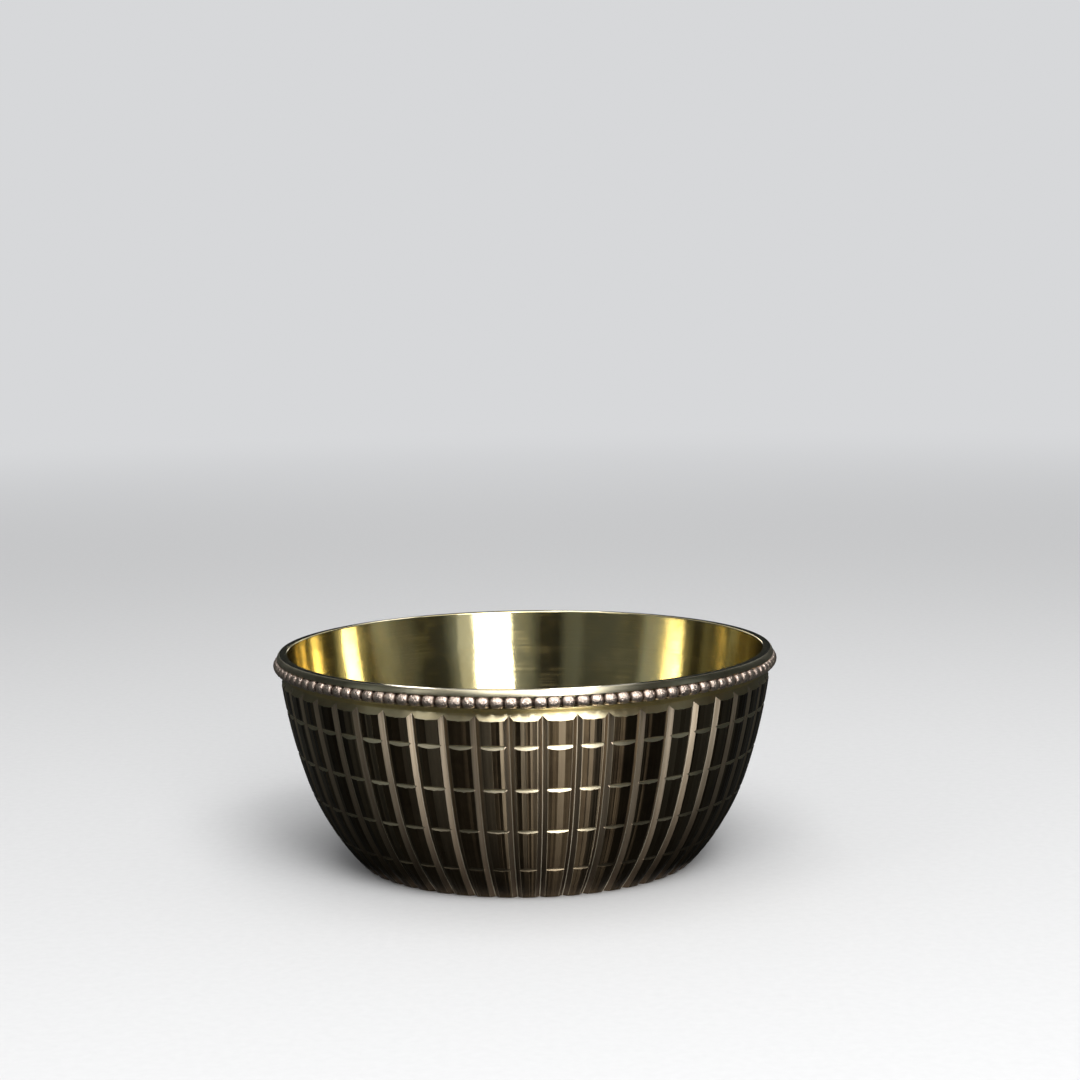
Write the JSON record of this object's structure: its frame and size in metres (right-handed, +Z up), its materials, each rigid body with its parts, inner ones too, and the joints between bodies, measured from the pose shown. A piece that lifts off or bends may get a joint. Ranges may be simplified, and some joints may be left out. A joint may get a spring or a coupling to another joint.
{
  "type": "offering bowl",
  "caption": "Round brass offering bowl with a polished inside, upright panels crossed by turned grooves, a ring of beaded wire and a smooth rounded lip.",
  "frame": {"origin": "centre of the foot, on the surface that the bowl stands on", "axes": "+Z up along the bowl's axis, -Y towards the viewer of the picture"},
  "size_m": [0.11, 0.11, 0.0467],
  "materials": {
    "turned_brass": "polished inside, milled and slightly tarnished outside",
    "beaded_brass": "rough and tarnished",
    "polished_brass": "polished",
    "brazing_metal": "as melted"
  },
  "bodies": {
    "root": {"bowl_shell": "turned_brass", "beaded_wire": "beaded_brass", "lip_ring": "polished_brass", "lower_braze_ring": "brazing_metal", "upper_braze_ring": "brazing_metal"}
  },
  "joints": []
}
